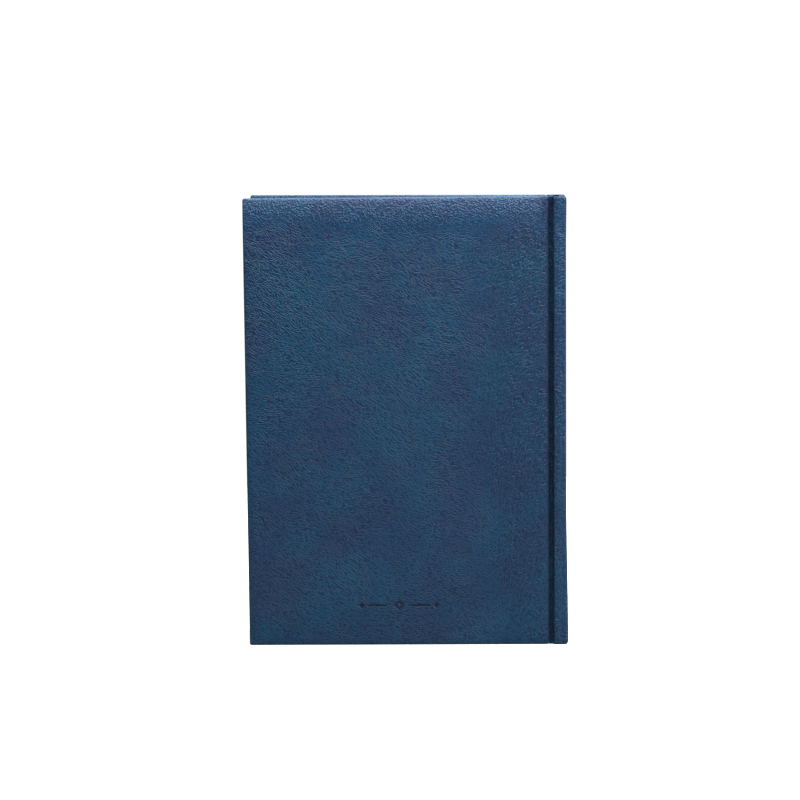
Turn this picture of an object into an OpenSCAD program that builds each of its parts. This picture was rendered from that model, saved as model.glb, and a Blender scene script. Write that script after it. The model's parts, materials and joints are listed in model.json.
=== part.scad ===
// Casebound pilot logbook, A5, standing on its tail.
// +Z runs up the spine, the fore-edges point to -X, the back cover faces -Y.
// The origin is the middle of the spine's tail end, on the surface that the book stands on.

/* [Case] */
// Height of the covers, tail to head
case_height = 216; // [150:1:300]
// Width of a covered board, from its shoulder at the joint to the fore-edge
cover_width = 145; // [100:1:220]
// Thickness of the greyboard in the covers
board_thick = 2.2; // [1.5:0.1:3]
// Thickness of the board in the spine
spine_board_thick = 2; // [2:0.1:3]
// Thickness of the covering leather
leather_thick = 0.6; // [0.4:0.1:0.8]
// Width of the leather that is folded over inside the boards
turn_in = 15; // [8:1:20]
// Radius of the covered boards' two outer corners
corner_round = 1.2; // [1:0.1:4]

/* [Joint] */
// Width of the groove between a cover and the spine strip
groove_width = 2.4; // [2:0.1:5]
// Width of the spine as it shows beside the groove
strip_width = 5.9; // [5:0.1:9]
// Radius of the spine's two long outer edges
edge_round = 2.4; // [2:0.1:2.6]
// Radius where the spine strip drops into the groove
wall_round = 0.9; // [0.9:0.1:1.5]
// How far the hinge line lies outside the cover's outer face
hinge_lift = 0.15; // [0.15:0.05:0.5]
// Air left between the two leather edges that meet on the hinge line
hinge_gap = 0.2; // [0.2:0.05:0.6]

/* [Text block] */
// How far the covers stand out past the pages
square_width = 3; // [2:0.5:6]
// Thickness of one sewn section
section_thick = 1.05; // [0.6:0.05:2]
// Air between two sections
section_gap = 0.05; // [0.05:0.01:0.2]
// Thickness of a single leaf
leaf_thick = 0.2; // [0.1:0.05:0.3]
// Air between two single leaves
leaf_gap = 0.1; // [0.05:0.05:0.3]
// Distance from the cover's hinge line to the fold line of the pages
fold_reach = 4.35; // [4.35:0.05:8]
// Length over which a section swells from its fold to full thickness
section_swell = 3; // [3:0.5:8]
// Clear length beside the fold line of a single leaf
leaf_start = 1; // [1:0.1:3]
// Air between the closed covers and the outermost leaves
closing_gap = 0.2; // [0.2:0.05:0.6]

/* [Spine] */
// Diameter of the sewing thread
thread_d = 0.4; // [0.3:0.05:0.6]
// Height of one sewing station, between its two rows of thread
station_height = 8; // [4:1:14]
// Thickness of the gauze mull
mull_thick = 0.15; // [0.1:0.01:0.18]
// Bare length of the spine above and below the mull
mull_inset = 14; // [10:1:30]
// Thickness of the kraft lining
lining_thick = 0.2; // [0.1:0.05:0.4]
// Bare length of the spine above and below the lining
lining_inset = 6; // [4:1:30]
// Hollow between the lining and the spine board
hollow_gap = 0.9; // [0.9:0.1:2]
// Radius of the beads at head and tail
bead_r = 0.9; // [0.6:0.1:1.2]
// Length of the tape that glues a bead to the spine
bead_tape = 9; // [5:1:12]
// Thickness of the bead's tape
bead_tape_thick = 0.2; // [0.1:0.05:0.3]

/* [Endpapers] */
// Thickness of the pasted-down endpapers
paste_thick = 0.2; // [0.1:0.05:0.3]
// Leather border that shows round a pasted-down endpaper
paste_border = 3.5; // [2:0.5:7]

/* [Ornament] */
// Height of the blind-stamped ornament's centre above the tail
stamp_height = 19.5; // [12:0.5:60]
// Length of the ornament
stamp_length = 36; // [20:1:60]
// Width of the ornament's two rules
stamp_rule = 0.8; // [0.5:0.1:2]
// Width of the lozenge between the rules
stamp_lozenge = 4; // [2:0.5:8]
// Depth that the ornament is stamped into the leather
stamp_depth = 0.25; // [0.1:0.05:0.3]

/* [Opening] */
// Angle that the front cover stands ajar
front_ajar = 8; // [0:0.5:20]

/* [Hidden] */

$fn = 64;
// How deep shapes that join run into each other
eps = 0.01;
// How far a cutting shape runs past the face that it cuts
over = 1;

NAVY = [0.165, 0.255, 0.36];
GREYBOARD = [0.62, 0.58, 0.52];
PAPER = [0.95, 0.94, 0.9];
ENDPAPER = [0.9, 0.89, 0.84];
KRAFT = [0.66, 0.5, 0.33];
GAUZE = [0.86, 0.84, 0.78];
THREAD = [0.92, 0.9, 0.84];
BAND = [0.25, 0.36, 0.5];

HALF_SECTIONS = 4;
HALF_LEAVES = 3;

// Share of its cover's angle that each leaf or section turns, counted outwards from the middle.
SECTION_SHARE = [0.09, 0.18, 0.27, 0.36];
LEAF_SHARE = [0.46, 0.56, 0.66];

// Across the book, from the middle of the block outwards.
section_pitch = section_thick + section_gap;
leaf_pitch = leaf_thick + leaf_gap;
sections_half = section_gap / 2 + HALF_SECTIONS * section_pitch;
block_half = sections_half - section_gap + HALF_LEAVES * leaf_pitch;
cover_inner = block_half + closing_gap;
paste_outer = cover_inner + paste_thick;
board_inner = paste_outer + leather_thick;
board_outer = board_inner + board_thick;
cover_outer = board_outer + leather_thick;

// Along the cover, from the spine to the fore-edge.
spine_outer = spine_board_thick / 2 + leather_thick;
strip_in = spine_outer - strip_width;
hinge_x = strip_in - groove_width / 2;
hinge_y = cover_outer + hinge_lift;
cover_in = strip_in - groove_width;
cover_out = cover_in - cover_width;
lining_back = -spine_board_thick / 2 - hollow_gap;
mull_back = lining_back - lining_thick;
block_back = mull_back - mull_thick - thread_d;
fold_line = hinge_x - fold_reach;
page_out = cover_out + square_width;
page_low = square_width;
page_high = case_height - square_width;

// Inner and outer height of layer k on the front half, counted from the middle.
function section_low(k) = section_gap / 2 + k * section_pitch;
function leaf_low(k) = sections_half - section_gap + leaf_gap + k * leaf_pitch;

// ---------- shapes used more than once ----------

// A block between two corners.
module span(low, high) {
    translate(low) cube(high - low);
}

// Mirrors its children onto the back half when side is -1.
module on_side(side) {
    if (side > 0) children();
    else mirror([0, 1, 0]) children();
}

// Turns its children open by an angle about an upright line on the front half.
module opened(x, y, angle) {
    translate([x, y, 0]) rotate([0, 0, -angle]) translate([-x, -y, 0]) children();
}

// Angle at which each half of the book stands, front or back.
function ajar(side) = side > 0 ? front_ajar : 0;

// Upright plate whose two fore-edge corners are rounded.
module covered_plate(x0, x1, y0, y1, z0, z1, r) {
    translate([0, y1, 0]) rotate([90, 0, 0]) linear_extrude(y1 - y0) union() {
        translate([x0 + r, z0]) square([x1 - x0 - r, z1 - z0]);
        translate([x0, z0 + r]) square([x1 - x0, z1 - z0 - 2 * r]);
        translate([x0 + r, z0 + r]) circle(r);
        translate([x0 + r, z1 - r]) circle(r);
    }
}

// Outline of the spine seen from its end, with rounded outer edges and groove walls.
module spine_outline(inset) {
    x0 = strip_in + inset;
    x1 = spine_outer - inset;
    half = cover_outer - inset;
    r_out = edge_round - inset;
    r_in = wall_round - inset;
    union() {
        translate([x0 + r_in, -half]) square([x1 - r_out - x0 - r_in, 2 * half]);
        translate([x1 - r_out - eps, r_out - half]) square([r_out + eps, 2 * (half - r_out)]);
        translate([x0, r_in - half]) square([r_in + eps, 2 * (half - r_in)]);
        for (s = [-1, 1]) {
            translate([x1 - r_out, s * (half - r_out)]) circle(r_out);
            translate([x0 + r_in, s * (half - r_in)]) circle(r_in);
        }
    }
}

// The part of the spine outline that lies outward of x.
module spine_outline_from(inset, x) {
    intersection() {
        spine_outline(inset);
        translate([x, -cover_outer]) square([spine_outer - x, 2 * cover_outer]);
    }
}

// ---------- case ----------

// Board, leather and endpaper of one cover share this place.
module cover_place(side) {
    on_side(side) opened(hinge_x, hinge_y, ajar(side)) children();
}

module cover_board(side) {
    color(GREYBOARD) cover_place(side)
        covered_plate(cover_out + leather_thick, cover_in - leather_thick, board_inner, board_outer,
                      leather_thick, case_height - leather_thick, corner_round - leather_thick);
}

module cover_leather(side, stamped) {
    color(NAVY) cover_place(side) difference() {
        union() {
            covered_plate(cover_out, cover_in, paste_outer, cover_outer, 0, case_height,
                          corner_round);
            span([cover_in - eps, paste_outer, 0],
                 [hinge_x - hinge_gap / 2, board_inner, case_height]);
        }
        covered_plate(cover_out + leather_thick, cover_in - leather_thick, board_inner,
                      board_outer, leather_thick, case_height - leather_thick,
                      corner_round - leather_thick);
        span([cover_out + turn_in, paste_outer - over, turn_in],
             [cover_in - leather_thick, board_inner + eps, case_height - turn_in]);
        if (stamped) ornament();
    }
}

// Two rules and a lozenge, cut into the outer face.
module ornament() {
    middle = (cover_in + cover_out) / 2;
    reach = stamp_length / 2;
    bottom = cover_outer - stamp_depth;
    for (s = [0, 1]) translate([middle, 0, 0]) mirror([s, 0, 0])
        span([stamp_lozenge, bottom, stamp_height - stamp_rule / 2],
             [reach, cover_outer + over, stamp_height + stamp_rule / 2]);
    translate([middle, bottom, stamp_height]) rotate([0, 45, 0])
        translate([-stamp_lozenge / 2, 0, -stamp_lozenge / 2] / sqrt(2))
            cube([stamp_lozenge / sqrt(2), stamp_depth + over, stamp_lozenge / sqrt(2)]);
}

// Sheet pasted over the turned-in leather, stepping down onto the board inside it.
module cover_pastedown(side) {
    x0 = cover_out + turn_in;
    x1 = cover_in - leather_thick;
    t = paste_thick;
    color(ENDPAPER) cover_place(side) difference() {
        union() {
            span([cover_out + paste_border, cover_inner, paste_border],
                 [x1, paste_outer, case_height - paste_border]);
            span([x0, cover_inner, turn_in], [x1, board_inner, case_height - turn_in]);
        }
        span([x0 + t, cover_inner - over, turn_in + t],
             [x1 - t, board_inner - t, case_height - turn_in - t]);
    }
}

module spine_board() {
    color(GREYBOARD) translate([0, 0, leather_thick])
        linear_extrude(case_height - 2 * leather_thick)
            spine_outline_from(leather_thick, -spine_board_thick / 2);
}

// Leather round the spine and down both groove walls, folded in over the board at head and tail.
module spine_leather() {
    color(NAVY) union() {
        linear_extrude(case_height) spine_skin();
        for (z = [0, case_height - leather_thick]) translate([0, 0, z])
            linear_extrude(leather_thick)
                spine_outline_from(leather_thick - eps, -spine_board_thick / 2 - leather_thick);
        for (z = [0, case_height - turn_in])
            span([-spine_board_thick / 2 - leather_thick, -board_outer, z],
                 [-spine_board_thick / 2, board_outer, z + turn_in]);
    }
}

module spine_skin() {
    difference() {
        spine_outline(0);
        spine_outline(leather_thick);
        translate([strip_in - over, -paste_outer])
            square([leather_thick + 2 * over, 2 * paste_outer]);
    }
    for (s = [-1, 1]) on_side_flat(s)
        translate([hinge_x + hinge_gap / 2, paste_outer])
            square([strip_in + leather_thick - hinge_x - hinge_gap / 2, leather_thick]);
}

// Mirrors a flat outline onto the back half when side is -1.
module on_side_flat(side) {
    if (side > 0) children();
    else mirror([0, 1]) children();
}

// ---------- spine of the block ----------

module spine_lining() {
    color(KRAFT) span([mull_back, -block_half, lining_inset],
                      [lining_back, block_half, case_height - lining_inset]);
}

// Gauze over the sewn back, with a flange down each side of the block.
module mull() {
    z0 = mull_inset;
    z1 = case_height - mull_inset;
    color(GAUZE) union() {
        span([mull_back - mull_thick, -block_half - mull_thick, z0],
             [mull_back, block_half + mull_thick, z1]);
        for (side = [-1, 1]) on_side(side)
            span([fold_line, block_half, z0], [mull_back, block_half + mull_thick, z1]);
    }
}

// Two rows of thread at each sewing station, across the backs of all the sections.
module sewing_thread() {
    stations = 5;
    low = mull_inset + station_height;
    step = (case_height - 2 * low) / (stations - 1);
    color(THREAD) for (k = [0:stations - 1], s = [-1, 1])
        translate([block_back + thread_d / 2, 0, low + k * step + s * station_height / 2])
            rotate([90, 0, 0])
                cylinder(h = 2 * (sections_half - section_gap), d = thread_d, center = true);
}

// Stitched inner margins of the sections and the tipped-on margins of the single leaves.
module section_folds() {
    color(PAPER) for (side = [-1, 1]) on_side(side) {
        for (k = [0:HALF_SECTIONS - 1]) fold(section_low(k), section_thick);
        for (k = [0:HALF_LEAVES - 1]) fold(leaf_low(k), leaf_thick);
    }
}

module fold(y, thick) {
    span([fold_line, y, page_low], [block_back, y + thick, page_high]);
}

// Corded bead that lies on the block's end, with the tape that holds it to the spine.
module bead(end_z, inward) {
    tape_far = end_z + inward * bead_tape;
    bead_z = end_z - inward * bead_r;
    color(BAND) union() {
        translate([block_back - bead_r + bead_tape_thick / 2, 0, bead_z]) rotate([90, 0, 0])
            cylinder(h = 2 * (block_half - leaf_gap), r = bead_r, center = true);
        span([block_back, leaf_gap - block_half, min(tape_far, bead_z)],
             [block_back + bead_tape_thick, block_half - leaf_gap, max(tape_far, bead_z)]);
    }
}

module head_band() {
    bead(page_high, -1);
}

module tail_band() {
    bead(page_low, 1);
}

// ---------- leaves that turn ----------

// Section k on one half, counted from the middle, thinned towards its fold line.
module section(side, k) {
    low = section_low(k);
    high = low + section_thick;
    start = fold_line - hinge_gap / 2;
    color(PAPER) on_side(side) opened(fold_line, high, SECTION_SHARE[k] * ajar(side))
        translate([0, 0, page_low]) linear_extrude(page_high - page_low)
            polygon([[start, high], [page_out, high], [page_out, low],
                     [start - section_swell, low], [start, high - leaf_thick]]);
}

// Single leaf k on one half, counted outwards from the sections.
module leaf(side, k, tint) {
    low = leaf_low(k);
    high = low + leaf_thick;
    color(tint) on_side(side) opened(fold_line, high, LEAF_SHARE[k] * ajar(side))
        span([page_out, low, page_low], [fold_line - leaf_start, high, page_high]);
}

spine_board();
spine_leather();
spine_lining();
mull();
sewing_thread();
section_folds();
head_band();
tail_band();
cover_board(1);  // front_board
cover_leather(1, false);  // front_leather
cover_pastedown(1);  // front_pastedown
cover_board(-1);  // back_board
cover_leather(-1, true);  // back_leather
cover_pastedown(-1);  // back_pastedown
leaf(1, 2, ENDPAPER);  // front_flyleaf
leaf(1, 1, PAPER);  // front_leaf_1
leaf(1, 0, PAPER);  // front_leaf_2
section(1, 3);  // section_1
section(1, 2);  // section_2
section(1, 1);  // section_3
section(1, 0);  // section_4
section(-1, 0);  // section_5
section(-1, 1);  // section_6
section(-1, 2);  // section_7
section(-1, 3);  // section_8
leaf(-1, 0, PAPER);  // back_leaf_2
leaf(-1, 1, PAPER);  // back_leaf_1
leaf(-1, 2, ENDPAPER);  // back_flyleaf
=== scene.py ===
"""A casebound pilot logbook that stands on its tail, with its front cover a little ajar.

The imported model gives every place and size. The covering leather, endpapers, pages and bands
are built here round it, closed and facing backwards first, then mirrored and turned ajar.
"""

import json
import logging
import math
from collections.abc import Callable, Iterator
from contextlib import contextmanager
from dataclasses import dataclass
from enum import Enum

import bmesh
import bpy
from mathutils import Matrix, Vector, noise

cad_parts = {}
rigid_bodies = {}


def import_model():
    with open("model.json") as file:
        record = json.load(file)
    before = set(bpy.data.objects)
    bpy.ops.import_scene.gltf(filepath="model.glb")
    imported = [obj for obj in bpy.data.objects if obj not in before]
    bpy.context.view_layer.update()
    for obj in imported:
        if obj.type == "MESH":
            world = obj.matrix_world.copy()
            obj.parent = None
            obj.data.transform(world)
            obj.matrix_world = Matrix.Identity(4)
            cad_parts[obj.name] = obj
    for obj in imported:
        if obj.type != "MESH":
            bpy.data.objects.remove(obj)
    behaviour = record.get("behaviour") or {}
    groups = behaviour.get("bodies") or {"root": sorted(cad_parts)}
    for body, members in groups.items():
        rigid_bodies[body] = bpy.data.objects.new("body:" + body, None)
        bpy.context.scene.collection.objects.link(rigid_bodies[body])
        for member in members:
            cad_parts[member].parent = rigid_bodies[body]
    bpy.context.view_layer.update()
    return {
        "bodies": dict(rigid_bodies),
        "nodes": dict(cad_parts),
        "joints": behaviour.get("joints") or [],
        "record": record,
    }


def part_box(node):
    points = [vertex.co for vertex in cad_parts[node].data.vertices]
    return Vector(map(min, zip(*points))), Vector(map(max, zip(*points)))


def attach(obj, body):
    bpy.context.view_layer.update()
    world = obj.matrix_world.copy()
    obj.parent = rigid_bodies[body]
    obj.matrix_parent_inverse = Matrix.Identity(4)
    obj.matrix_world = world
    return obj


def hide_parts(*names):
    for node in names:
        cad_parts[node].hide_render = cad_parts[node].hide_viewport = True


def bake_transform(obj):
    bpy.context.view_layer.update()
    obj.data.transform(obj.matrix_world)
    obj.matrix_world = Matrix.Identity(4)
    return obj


Piece = bpy.types.Object
Tree = bpy.types.NodeTree
Node = bpy.types.Node
Socket = bpy.types.NodeSocket

MM = 0.001
UP = Vector((0, 0, 1))
PLACE = "place"
# the rub share also holds painted highlights, and the stamp share painted shade along the joints
RUB_AND_HIGHLIGHT = "rub"
STAMP_AND_SHADE = "stamp"

log = logging.getLogger("logbook")


class Side(Enum):
    """The two halves of the book."""

    FRONT = "front"
    BACK = "back"

    @property
    def cover(self) -> str:
        """Name of the body that carries this half's cover."""
        return f"{self.value}_cover"


# ---------------------------------------------------------------- sizes


@dataclass(frozen=True)
class Book:
    """The closed book's planes, in metres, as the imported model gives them.

    Distances named after a layer are measured from the book's middle plane.

    Attributes:
        fore: Place of the covers' fore-edges along X.
        shoulder: Place along X where each cover ends at its joint.
        strip: Place along X where the spine's leather drops into the joint.
        back: Place of the spine's outer face along X.
        head: Height of the covers.
        outer: Distance to the covers' outer faces.
        board_in: Distance to the inner faces of the boards.
        inner: Distance to the turned-in leather's inner face.
        leather: Thickness of the covering leather.
        hinge: Hinge line of the back cover.
        ajar: Angle that the front cover stands open, in radians.
        shares: Share of its cover's angle that each leaf or section turns.
        pivots: Place of each joint's axis, by the name of the body that it carries.
    """

    fore: float
    shoulder: float
    strip: float
    back: float
    head: float
    outer: float
    board_in: float
    inner: float
    leather: float
    hinge: Vector
    ajar: float
    shares: dict[str, float]
    pivots: dict[str, Vector]

    @classmethod
    def from_frame(cls, frame: dict) -> "Book":
        """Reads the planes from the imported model.


        Returns:
            The book's planes.
        """
        skin_low, skin_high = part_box("back_leather")
        board_low, board_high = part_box("back_board")
        pivots = {j["child"]: Vector(j["pos_m"]) for j in frame["joints"]}
        by_joint = {c["joint"]: c["ratio"] for c in frame["record"]["behaviour"]["couplings"]}
        shares = {j["child"]: by_joint[j["name"]] for j in frame["joints"] if j["name"] in by_joint}
        leather = board_low.x - skin_low.x
        hinge = pivots[Side.BACK.cover]
        shoulder = board_high.x + leather
        closed = next(j for j in frame["joints"] if j["child"] == Side.FRONT.cover)
        return cls(
            fore=skin_low.x,
            shoulder=shoulder,
            strip=2 * hinge.x - shoulder,
            back=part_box("spine_leather")[1].x,
            head=skin_high.z,
            outer=-skin_low.y,
            board_in=-board_high.y,
            inner=-skin_high.y,
            leather=leather,
            hinge=hinge,
            ajar=-math.radians(closed["range_deg"][0]),
            shares=shares,
            pivots=pivots,
        )

    def pressed(self, at: Vector) -> Vector:
        """Rounds a closed back cover's outer face down towards its edges, most at the head."""
        depth = min(1.0, max(0.0, (-at.y - self.board_in) / (self.outer - self.board_in)))
        # how far an edge is, over what width the face rolls off to it, and how deep
        falls = (
            (self.head - at.z, 14 * MM, 1.35 * MM),
            (self.head - at.z, 30 * MM, 0.4 * MM),
            (at.z, 3 * MM, 0.3 * MM),
            (at.x - self.fore, 4 * MM, 0.3 * MM),
            (self.shoulder - at.x, 4.5 * MM, (0.35 + 0.5 * at.z / self.head) * MM),
        )
        drops = [fall * max(0.0, 1 - away / reach) ** 2 for away, reach, fall in falls]
        return at + Vector((0, math.hypot(drops[0] + drops[1], *drops[2:]) * depth, 0))

    def joint(self, side: Side, level: float) -> "Fold":
        """The fold that a sheet makes over one joint, at a distance from the middle plane."""
        across = level if side is Side.FRONT else -level
        margin = 0.05 * MM
        return Fold(
            body=side.cover,
            pivot=self.pivots[side.cover],
            start=Vector((self.strip - margin, across, 0)),
            end=Vector((self.shoulder + margin, across, 0)),
            angle=self.ajar if side is Side.FRONT else 0.0,
        )

    def set_ajar(self, piece: Piece) -> None:
        """Turns a piece of the closed front cover to where the cover stands at rest."""
        hinge = self.pivots[Side.FRONT.cover]
        turn = Matrix.Rotation(-self.ajar, 3, UP)
        sculpt(piece, lambda point: turn @ (point - hinge) + hinge)


# ---------------------------------------------------------------- modelling helpers


def clean_start() -> None:
    """Leaves edit mode and deselects everything."""
    if bpy.context.object and bpy.context.object.mode != "OBJECT":
        bpy.ops.object.mode_set(mode="OBJECT")
    bpy.ops.object.select_all(action="DESELECT")


def make_active(piece: Piece) -> None:
    """Selects one piece alone and makes it the active one."""
    clean_start()
    piece.select_set(True)
    bpy.context.view_layer.objects.active = piece


@contextmanager
def editing(piece: Piece, kind: str = "FACE") -> Iterator[None]:
    """Opens a piece in edit mode with nothing selected, and closes it afterwards.

    Args:
        piece: The piece to edit.
        kind: What is selected, VERT, EDGE or FACE.

    Yields:
        Nothing; the piece is open while the block runs.
    """
    make_active(piece)
    bpy.ops.object.mode_set(mode="EDIT")
    bpy.ops.mesh.select_mode(type=kind)
    bpy.ops.mesh.select_all(action="DESELECT")
    yield
    bpy.ops.object.mode_set(mode="OBJECT")


def pick(piece: Piece, kind: str, test: Callable[[Vector, Vector], bool]) -> None:
    """Selects what passes a test, in edit mode, and deselects the rest.

    Args:
        piece: The piece that is open in edit mode.
        kind: What to select: verts, edges or faces.
        test: Takes the middle and the normal of each and says whether it is selected.
    """
    mesh = bmesh.from_edit_mesh(piece.data)
    bpy.ops.mesh.select_all(action="DESELECT")
    for item in getattr(mesh, kind):
        if kind == "verts":
            middle, normal = item.co, item.normal
        elif kind == "edges":
            middle = (item.verts[0].co + item.verts[1].co) / 2
            normal = (item.verts[0].normal + item.verts[1].normal) / 2
        else:
            middle, normal = item.calc_center_median(), item.normal
        if test(middle, normal):
            item.select_set(True)
    bmesh.update_edit_mesh(piece.data)


def pick_rim() -> None:
    """Selects the open rim of the piece that is in edit mode."""
    bpy.ops.mesh.select_all(action="DESELECT")
    bpy.ops.mesh.select_non_manifold(
        extend=False, use_wire=False, use_boundary=True,
        use_multi_face=False, use_non_contiguous=False, use_verts=False,
    )


def block(name: str, low: Vector, high: Vector) -> Piece:
    """Adds a cube primitive between two corners.

    Args:
        name: Name of the new piece.
        low: Its lowest corner.
        high: Its highest corner.

    Returns:
        The new piece, with its place in its mesh.
    """
    clean_start()
    bpy.ops.mesh.primitive_cube_add(size=1, location=(low + high) / 2)
    return named_and_applied(name, high - low)


def grid(name: str, middle: Vector, turn: tuple, size: tuple, cells: tuple) -> Piece:
    """Adds a flat grid primitive.

    Args:
        name: Name of the new piece.
        middle: Its middle point.
        turn: Its turn from lying flat, in radians round X, Y and Z.
        size: Its two sides.
        cells: Number of cells along each side.

    Returns:
        The new piece, with its place in its mesh.
    """
    clean_start()
    bpy.ops.mesh.primitive_grid_add(
        x_subdivisions=cells[0], y_subdivisions=cells[1], size=1, location=middle, rotation=turn
    )
    return named_and_applied(name, Vector((size[0], size[1], 1)))


def named_and_applied(name: str, scale: Vector) -> Piece:
    """Names the active primitive, sizes it and puts its place in its mesh."""
    piece = bpy.context.object
    piece.name = name
    piece.data.name = name
    piece.scale = scale
    bpy.ops.object.transform_apply(location=True, rotation=True, scale=True)
    return piece


def finish_with(piece: Piece, kind: str, **settings: object) -> None:
    """Adds a modifier with its settings and applies it."""
    make_active(piece)
    modifier = piece.modifiers.new(kind.lower(), kind)
    for name, value in settings.items():
        setattr(modifier, name, value)
    bpy.ops.object.modifier_apply(modifier=modifier.name)


def outward(piece: Piece, along: Vector) -> None:
    """Makes all faces agree, with the ones that lie furthest along a direction facing it."""
    with editing(piece):
        bpy.ops.mesh.select_all(action="SELECT")
        bpy.ops.mesh.normals_make_consistent(inside=False)
    far = max(piece.data.polygons, key=lambda face: face.center.dot(along))
    if far.normal.dot(along) < 0:
        with editing(piece):
            bpy.ops.mesh.select_all(action="SELECT")
            bpy.ops.mesh.flip_normals()


def sculpt(piece: Piece, move: Callable[[Vector], Vector]) -> None:
    """Moves every vertex of a piece to where a function puts it."""
    for vertex in piece.data.vertices:
        vertex.co = move(vertex.co.copy())
    piece.data.update()


def smooth(piece: Piece, angle: float = 38) -> None:
    """Shades a piece smooth, but for edges sharper than an angle in degrees."""
    make_active(piece)
    bpy.ops.object.shade_smooth_by_angle(angle=math.radians(angle))


def joined(name: str, pieces: list[Piece]) -> Piece:
    """Joins pieces into the first of them and names it."""
    make_active(pieces[0])
    for piece in pieces:
        piece.select_set(True)
    bpy.ops.object.join()
    pieces[0].name = name
    pieces[0].data.name = name
    return pieces[0]


def mirrored(piece: Piece) -> None:
    """Mirrors a piece through the book's middle plane and turns its faces outward again."""
    make_active(piece)
    piece.scale = (1, -1, 1)
    bpy.ops.object.transform_apply(location=False, rotation=False, scale=True)
    with editing(piece):
        bpy.ops.mesh.select_all(action="SELECT")
        bpy.ops.mesh.flip_normals()


def ease(share: float) -> float:
    """Smooth step of a share that is held between 0 and 1."""
    t = min(1.0, max(0.0, share))
    return t * t * (3 - 2 * t)


def keep_place(piece: Piece) -> None:
    """Stores where each point lies in the closed book, in millimetres, for the patterns to follow."""
    place = piece.data.attributes.new(PLACE, "FLOAT_VECTOR", "POINT")
    for entry, vertex in zip(place.data, piece.data.vertices):
        entry.vector = vertex.co / MM


def keep_share(piece: Piece, name: str, share: Callable[[Vector], float]) -> None:
    """Stores a share from 0 to 1 at each point, such as how rubbed or how stamped it is."""
    attribute = piece.data.attributes.new(name, "FLOAT", "POINT")
    for entry, vertex in zip(attribute.data, piece.data.vertices):
        entry.value = min(1.0, max(0.0, share(vertex.co)))


@dataclass(frozen=True)
class Fold:
    """How a piece bends across a joint, with the book closed.

    Attributes:
        body: The body beyond the joint; the near one is the spine. It is not used.
        pivot: Place of the joint's axis.
        start: Point where the bend starts.
        end: Point where the bend ends.
        angle: Angle that the body stands open at rest, in radians.
    """

    body: str
    pivot: Vector
    start: Vector
    end: Vector
    angle: float

    def turned(self, point: Vector, share: float) -> Vector:
        """Where a closed book's point lies once it has turned by a share of the angle."""
        spun = Matrix.Rotation(-self.angle * share, 3, UP) @ (point - self.pivot)
        return spun + self.pivot

    def share(self, point: Vector) -> float:
        """Share of the angle that a point has turned."""
        along = self.end - self.start
        return ease((point - self.start).dot(along) / along.length_squared)

    def bend(self, piece: Piece) -> None:
        """Lays the piece in its rest pose."""
        if self.angle:
            sculpt(piece, lambda point: self.turned(point, self.share(point)))
        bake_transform(piece)


# ---------------------------------------------------------------- finishes


def linear(hex_colour: str) -> tuple[float, float, float, float]:
    """Turns an sRGB hex colour to the linear values that a shader takes."""
    channels = [int(hex_colour[i:i + 2], 16) / 255 for i in (0, 2, 4)]
    return (*[c / 12.92 if c <= 0.04045 else ((c + 0.055) / 1.055) ** 2.4 for c in channels], 1.0)


def add_node(tree: Tree, kind: str, inputs: dict | None = None, **settings: object) -> Node:
    """Adds a node with its settings, its values and its links.

    Args:
        tree: The node tree that it goes in.
        kind: Its type, such as ShaderNodeBump.
        inputs: A value or an output socket for each input, by name or number.
        settings: The node's own properties.

    Returns:
        The new node.
    """
    node = tree.nodes.new(kind)
    for name, value in settings.items():
        setattr(node, name, value)
    for socket, value in (inputs or {}).items():
        if isinstance(value, Socket):
            tree.links.new(value, node.inputs[socket])
        else:
            node.inputs[socket].default_value = value
    return node


@dataclass(frozen=True)
class Finish:
    """A material of the book. Each finish fills in what its surface shows.

    Attributes:
        name: The material's common name.
        roughness: Its mean roughness.
        ior: Its index of refraction.
        gloss: How much of the usual specular level it keeps.
    """

    name: str
    roughness: float = 0.6
    ior: float = 1.5
    gloss: float = 0.5

    def material(self) -> bpy.types.Material:
        """Makes the material, or returns the one that was made before."""
        found = bpy.data.materials.get(self.name)
        if found:
            return found
        made = bpy.data.materials.new(self.name)
        made.use_nodes = True
        tree = made.node_tree
        shader = tree.nodes["Principled BSDF"]
        shader.inputs["IOR"].default_value = self.ior
        shader.inputs["Roughness"].default_value = self.roughness
        shader.inputs["Specular IOR Level"].default_value = self.gloss
        self.paint(tree, shader)
        return made

    def paint(self, tree: Tree, shader: Node) -> None:
        """Links the finish's colour, roughness and bump to the shader."""
        raise NotImplementedError

    def dress(self, piece: Piece, slot: str) -> None:
        """Gives a piece this finish alone."""
        piece.data.materials.clear()
        piece.data.materials.append(self.material())


def mixed(tree: Tree, factor: object, low: object, high: object, how: str = "MIX") -> Socket:
    """Mixes two colours and returns the result's socket."""
    node = add_node(
        tree, "ShaderNodeMix", {0: factor, 6: low, 7: high}, data_type="RGBA", blend_type=how
    )
    return node.outputs[2]


def reckoned(tree: Tree, how: str, *values: object) -> Socket:
    """Works out one number from others and returns its socket."""
    node = add_node(tree, "ShaderNodeMath", dict(enumerate(values)), operation=how)
    return node.outputs[0]


def blended(tree: Tree, factor: object, low: object, high: object) -> Socket:
    """Mixes two numbers and returns the result's socket."""
    return add_node(tree, "ShaderNodeMix", {0: factor, 2: low, 3: high}).outputs[0]


def ranged(
    tree: Tree, value: object, low: float, high: float,
    to_low: float = 0.0, to_high: float = 1.0,
) -> Socket:
    """Maps a number smoothly from one range to another and returns its socket."""
    node = add_node(
        tree, "ShaderNodeMapRange",
        {"Value": value, "From Min": low, "From Max": high, "To Min": to_low, "To Max": to_high},
        interpolation_type="SMOOTHSTEP",
    )
    return node.outputs[0]


def stored(tree: Tree, name: str, kind: str = "Fac") -> Socket:
    """Reads what a piece keeps at each point and returns its socket."""
    return add_node(tree, "ShaderNodeAttribute", attribute_name=name).outputs[kind]


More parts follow.
